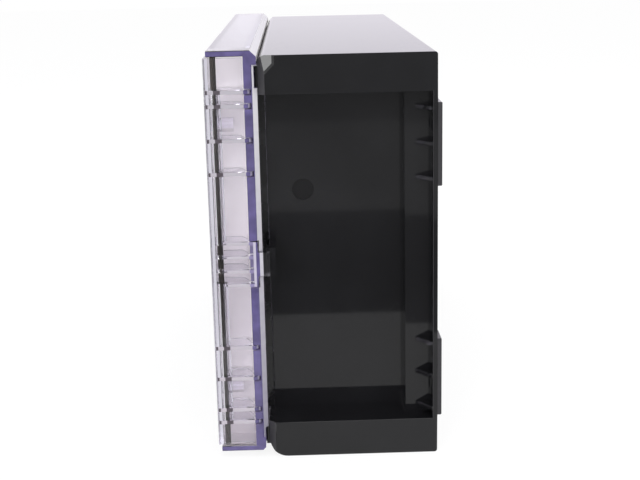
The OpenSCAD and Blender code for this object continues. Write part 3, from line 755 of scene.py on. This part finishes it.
class ENCLOSURE_OT_bar(bpy.types.Operator):
    """Makes the clear locking bar with its ribs, bosses, grip and hook"""

    bl_idname = "enclosure.bar"
    bl_label = "Locking bar"

    def execute(self, context):
        # Zones of the outer face from front to back, and their finishes between the ribs, at the ribs and at
        # the grip's ridges. At a rib the rod's dark image is painted on both sides of a pale painted band,
        # with a pale painted root: painted stand-ins for the clear rib seen through the wall. Behind them lie
        # the land's lighter painted violet or violet glow, the white strip, violet glow, the pale painted
        # chamfer and the clear hook.
        clear, lit_glow, white, violet, bright, rib_light_painted, shaded, frost_and_light_painted = range(8)
        land_x = COVER_HIGH.x - sizes().land
        strip_x = COVER_HIGH.x - sizes().strip_front
        # The two painted dark images of the rod with the pale painted band between them, and the painted
        # root, begin this far from the front.
        rib_steps = (0.5 * MM, 1.4 * MM, 3.8 * MM, 6.5 * MM)
        overlap, chamfer_wide = 0.2 * MM, 1.2 * MM
        starts = [BAR_LOW.x + step for step in rib_steps]
        starts += [land_x - overlap, strip_x, strip_x + sizes().strip_width,
                   COVER_HIGH.x - chamfer_wide, COVER_HIGH.x + overlap]
        behind = (white, violet, bright, clear)
        plain = (clear, clear, clear, clear, clear, lit_glow, *behind)
        ribbed = (clear, shaded, rib_light_painted, shaded, rib_light_painted, violet, *behind)
        ridged = (clear, clear, clear, clear, rib_light_painted, lit_glow, *behind)
        # Round noses of the ribs on the land and the strip, painted violet glow with a white painted glint,
        # and lower front faces of the round bosses, painted opaque as a painted shade band: where they lie
        # and which way they look.
        nose_zones, nose_y, nose_way = (5, 6), BAR_LOW.y + 2.6 * MM, -0.15
        boss_low_y, boss_high_y = -END_Y + 5.5 * MM, -END_Y + 9 * MM
        boss_side, boss_front, boss_down = 0.05, -0.1, -0.35
        ribs = rib_levels()
        outward = Vector((0, -1, 0))
        cuts = [at_depth(x) for x in starts]
        cuts += [((0, 0, z), (0, 0, 1), outward) for rib in ribs for z in rib]

        def rounded_edge(ends, middle, length):
            """Long edges in front of the hook."""
            return length > LONG_BAR_EDGE and middle.x < COVER_HIGH.x

        bar = softened_copy("locking_bar", "clear_locking_bar", sizes().bar_edge, 2, rounded_edge, cuts=cuts)
        made = {
            clear: clear_plastic("clear_polycarbonate_bar", roughness=0.04),
            white: textured_or_light_painted_plastic("grip_and_glint_polycarbonate", colours().grip, colours().grip),
            rib_light_painted: textured_or_light_painted_plastic("rib_light_painted_polycarbonate", colours().rib_low, colours().rib_high),
            shaded: textured_or_light_painted_plastic("shaded_polycarbonate", colours().shade, colours().shade),
            lit_glow: bpy.data.materials["lit_glow_polycarbonate"],
            violet: bpy.data.materials["clear_polycarbonate_painted_glow"],
            bright: bpy.data.materials["clear_polycarbonate_painted_light"],
            frost_and_light_painted: bpy.data.materials["frost_and_light_painted_polycarbonate"],
        }
        for index in sorted(made):
            bar.data.materials.append(made[index])
        for face in bar.data.polygons:
            where, way = face.center, face.normal
            zone = sum(where.x > start for start in starts)
            at_grip = abs(where.z - MIDDLE_Z) < GRIP_HALF
            at_rib = any(low < where.z < high for low, high in ribs)
            outer = way.y < -ALONG and abs(where.y - BAR_LOW.y) < ON_FACE
            # Painted glint: the noses' white zone.
            nose = zone in nose_zones and way.y < nose_way and where.y < nose_y and not at_grip
            # Painted shade: the bosses' lower front faces are painted opaque, a shade band on their
            # underside.
            boss = (abs(way.x) < boss_side and way.y < boss_front and way.z < boss_down
                    and boss_low_y < where.y < boss_high_y)
            face.material_index = clear
            if outer or nose:
                face.material_index = (plain if not at_rib else ridged if at_grip else ribbed)[zone]
            elif boss:
                face.material_index = frost_and_light_painted
        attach(bar, "bar")
        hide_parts("locking_bar")
        return {"FINISHED"}


def gusset_tree(material):
    """Node tree that repeats one gusset over the four ears."""
    tree = bpy.data.node_groups.new("ear_gussets", "GeometryNodeTree")
    face = tree.interface
    face.new_socket("Gusset", in_out="INPUT", socket_type="NodeSocketGeometry")
    for name in ("Pitch", "Ear Spacing", "Body Middle"):
        face.new_socket(name, in_out="INPUT", socket_type="NodeSocketFloat")
    face.new_socket("Gussets", in_out="OUTPUT", socket_type="NodeSocketGeometry")
    given = tree.nodes.new("NodeGroupInput")
    out = tree.nodes.new("NodeGroupOutput")

    def column(count, spacing, children):
        """Repeats the children up a column centred on zero."""
        half = add_node(tree, "ShaderNodeMath", settings={"operation": "MULTIPLY"},
                        values={1: -(count - 1) / 2}, links={0: spacing})
        start = add_node(tree, "ShaderNodeCombineXYZ", links={"Z": half.outputs[0]})
        step = add_node(tree, "ShaderNodeCombineXYZ", links={"Z": spacing})
        line = add_node(tree, "GeometryNodeMeshLine", values={"Count": count},
                        links={"Start Location": start.outputs[0], "Offset": step.outputs[0]})
        placed = add_node(tree, "GeometryNodeInstanceOnPoints",
                          links={"Points": line.outputs["Mesh"], "Instance": children})
        return placed.outputs["Instances"]

    ears = column(2, given.outputs["Ear Spacing"], column(3, given.outputs["Pitch"], given.outputs["Gusset"]))
    turned = add_node(tree, "GeometryNodeTransform", values={"Rotation": Euler((math.pi, 0, 0))},
                      links={"Geometry": ears})
    both = add_node(tree, "GeometryNodeJoinGeometry")
    tree.links.new(ears, both.inputs[0])
    tree.links.new(turned.outputs["Geometry"], both.inputs[0])
    middle = add_node(tree, "ShaderNodeCombineXYZ", links={"Z": given.outputs["Body Middle"]})
    lifted = add_node(tree, "GeometryNodeTransform",
                      links={"Geometry": both.outputs[0], "Translation": middle.outputs[0]})
    real = add_node(tree, "GeometryNodeRealizeInstances", links={"Geometry": lifted.outputs["Geometry"]})
    painted = add_node(tree, "GeometryNodeSetMaterial", values={"Material": material},
                       links={"Geometry": real.outputs["Geometry"]})
    tree.links.new(painted.outputs["Geometry"], out.inputs[0])
    return tree


class ENCLOSURE_OT_gussets(bpy.types.Operator):
    """Repeats the rounded gussets of the four ears"""

    bl_idname = "enclosure.gussets"
    bl_label = "Ear gussets"

    def execute(self, context):
        # The gusset runs from the recess's shallow floor out to just inside the body's end. Its root is
        # sunk in the floor and in the ear; its foot and its tip are blunt.
        rim_x = BODY_HIGH.x - sizes().ear_thickness
        floor_y = -END_Y + 8.5 * MM
        tip_y = -END_Y + 0.28 * MM
        reach, sunk, foot, tip, rounding = 6.5 * MM, 1.0 * MM, 0.05 * MM, 0.1 * MM, 0.3 * MM
        profile = [(rim_x + sunk, floor_y + sunk), (rim_x - reach, floor_y + sunk),
                   (rim_x - reach, floor_y - foot), (rim_x - tip, tip_y), (rim_x + sunk, tip_y)]
        half = sizes().gusset_thickness / 2
        work = bmesh.new()
        low = [work.verts.new((x, y, -half)) for x, y in profile]
        high = [work.verts.new((x, y, half)) for x, y in profile]
        work.faces.new(low)
        work.faces.new(list(reversed(high)))
        for i in range(len(profile)):
            j = (i + 1) % len(profile)
            work.faces.new((low[i], high[i], high[j], low[j]))
        bmesh.ops.recalc_face_normals(work, faces=work.faces)
        bmesh.ops.bevel(work, geom=list(work.edges), offset=rounding, segments=2, affect="EDGES",
                        profile=0.5)
        mesh = bpy.data.meshes.new("ear_gussets")
        work.to_mesh(mesh)
        work.free()
        piece = mesh_object("ear_gussets", mesh)
        tree = gusset_tree(bpy.data.materials["moulded_black_polycarbonate"])
        modifier = piece.modifiers.new("repeat", "NODES")
        modifier.node_group = tree
        given = {"Pitch": sizes().gusset_pitch, "Ear Spacing": BODY_HIGH.z - 2 * sizes().ear_middle,
                 "Body Middle": MIDDLE_Z - sizes().ear_drop}
        for item in tree.interface.items_tree:
            if item.in_out == "INPUT" and item.name in given:
                modifier[item.identifier] = given[item.name]
        plain_mesh(piece)
        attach(piece, "enclosure")
        return {"FINISHED"}


class ENCLOSURE_OT_fittings(bpy.types.Operator):
    """Gives the seal, the rod and the hinge pins their materials"""

    bl_idname = "enclosure.fittings"
    bl_label = "Seal, rod and pins"

    def execute(self, context):
        finishes = {
            "cover_seal": rubber(),
            "bar_rod": drawn_steel("blackened_drawn_steel", colours().rod, roughness=0.38),
            "hinge_pins": drawn_steel("ground_steel", colours().pin, roughness=0.25),
        }
        for node, material in finishes.items():
            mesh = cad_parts[node].data
            mesh.materials.clear()
            mesh.materials.append(material)
        return {"FINISHED"}


def studio_world():
    """White studio: an even light for the colours, and what the gloss of the part shows.

    Gloss sees white walls round the part, a dim room behind the photographer and a dark ceiling.
    """
    world = bpy.data.worlds.new("white_studio")
    world.use_nodes = True
    tree = world.node_tree
    tree.nodes.clear()
    output = tree.nodes.new("ShaderNodeOutputWorld")
    direction = add_node(tree, "ShaderNodeTexCoord").outputs["Generated"]
    split = add_node(tree, "ShaderNodeSeparateXYZ", links={"Vector": direction})
    # Darker towards the photographer's side and towards the ceiling.
    room = spread(tree, split.outputs["Y"], -0.9, -0.4, 0.45, 1.08)
    ceiling = spread(tree, split.outputs["Z"], 0.3, 0.7, 1.0, 0.2)
    level = add_node(tree, "ShaderNodeMath", settings={"operation": "MULTIPLY"}, links={0: room, 1: ceiling})
    even = add_node(tree, "ShaderNodeBackground", values={"Color": linear("#ffffff"), "Strength": 0.8})
    mirrored = add_node(tree, "ShaderNodeBackground", values={"Color": linear("#faf6ff")},
                        links={"Strength": level.outputs[0]})
    white = add_node(tree, "ShaderNodeBackground", values={"Color": linear("#ffffff"), "Strength": 1.0})
    seen, glossy = light_paths(tree)
    gloss = blend(tree, glossy, even.outputs[0], mirrored.outputs[0])
    tree.links.new(blend(tree, seen, gloss, white.outputs[0]), output.inputs["Surface"])
    return world


def area_light(name, place, target, width, height, power, mirrored=True, lights=True):
    """Softbox aimed at a point.

    Mirrored tells whether gloss shows it, and lights whether it lights dull surfaces.
    """
    light = bpy.data.lights.new(name, "AREA")
    light.shape = "RECTANGLE"
    light.size = width
    light.size_y = height
    light.energy = power
    made = bpy.data.objects.new(name, light)
    made.visible_glossy = mirrored
    made.visible_diffuse = lights
    made.location = place
    made.rotation_euler = (Vector(target) - Vector(place)).to_track_quat("-Z", "Y").to_euler()
    bpy.context.scene.collection.objects.link(made)
    return made


class ENCLOSURE_OT_stage(bpy.types.Operator):
    """Sets the floor, the soft light, the world and the camera"""

    bl_idname = "enclosure.stage"
    bl_label = "Stage"

    def execute(self, context):
        scene = context.scene
        work = bmesh.new()
        bmesh.ops.create_grid(work, x_segments=1, y_segments=1, size=FLOOR_HALF)
        mesh = bpy.data.meshes.new("paper_floor")
        work.to_mesh(mesh)
        work.free()
        floor = mesh_object("paper_floor", mesh)
        floor.data.materials.append(studio_paper())

        scene.world = studio_world()

        # Places, aims and sizes in metres, power in watts.
        area_light("overhead_softbox", (0.1, -0.25, 1.3), (0, 0, 0.08), 1.2, 1.2, 5.0, mirrored=False)
        area_light("right_softbox", (1.2, -0.5, 0.6), (0.03, -0.1, 0.08), 0.9, 0.9, 3.0, mirrored=False)
        area_light("front_softbox", (0.0, -1.5, 1.0), (0, -0.1, 0.08), 1.2, 1.2, 8.0, mirrored=False)
        area_light("window", (-0.36, -1.05, 0.39), (-0.02, -0.13, 0.16), 0.3, 0.3, 1.4)
        area_light("side_window", (-0.95, -0.85, 0.2), (-0.02, -0.13, 0.1), 0.9, 0.6, 6.0, lights=False)

        # Camera fitted to the photograph's perspective.
        lens = bpy.data.cameras.new("photo_camera")
        lens.sensor_width = 36.0
        lens.lens = 66.5
        lens.clip_start = 0.01
        camera = bpy.data.objects.new("photo_camera", lens)
        camera.location = (-0.01183, -0.60408, 0.21054)
        camera.rotation_euler = Euler([math.radians(a) for a in (76.1164, 1.2187, -1.4291)], "XYZ")
        scene.collection.objects.link(camera)
        scene.camera = camera
        scene.view_settings.view_transform = "Standard"
        # Light crosses many clear walls before it leaves the cover.
        scene.cycles.max_bounces = 24
        scene.cycles.transmission_bounces = 24
        scene.cycles.blur_glossy = 0.0
        return {"FINISHED"}


class ENCLOSURE_PT_panel(bpy.types.Panel):
    """Lists the steps that build the enclosure"""

    bl_idname = "ENCLOSURE_PT_panel"
    bl_label = "Enclosure"
    bl_space_type = "VIEW_3D"
    bl_region_type = "UI"
    bl_category = "Enclosure"

    def draw(self, context):
        column = self.layout.column()
        for step in STEPS:
            column.operator(step.bl_idname)
        for group in (context.scene.enclosure_sizes, context.scene.enclosure_colours):
            box = self.layout.box()
            for name in group.__annotations__:
                box.prop(group, name)


STEPS = (ENCLOSURE_OT_body, ENCLOSURE_OT_gussets, ENCLOSURE_OT_cover, ENCLOSURE_OT_bar,
         ENCLOSURE_OT_fittings, ENCLOSURE_OT_stage)
CLASSES = (EnclosureSizes, EnclosureColours) + STEPS + (ENCLOSURE_PT_panel,)


def register():
    for cls in CLASSES:
        bpy.utils.register_class(cls)
    bpy.types.Scene.enclosure_sizes = bpy.props.PointerProperty(type=EnclosureSizes)
    bpy.types.Scene.enclosure_colours = bpy.props.PointerProperty(type=EnclosureColours)


def unregister():
    del bpy.types.Scene.enclosure_colours
    del bpy.types.Scene.enclosure_sizes
    for cls in reversed(CLASSES):
        bpy.utils.unregister_class(cls)


def main():
    register()
    bpy.ops.enclosure.body()
    bpy.ops.enclosure.gussets()
    bpy.ops.enclosure.cover()
    bpy.ops.enclosure.bar()
    bpy.ops.enclosure.fittings()
    bpy.ops.enclosure.stage()


if __name__ == "__main__":
    main()
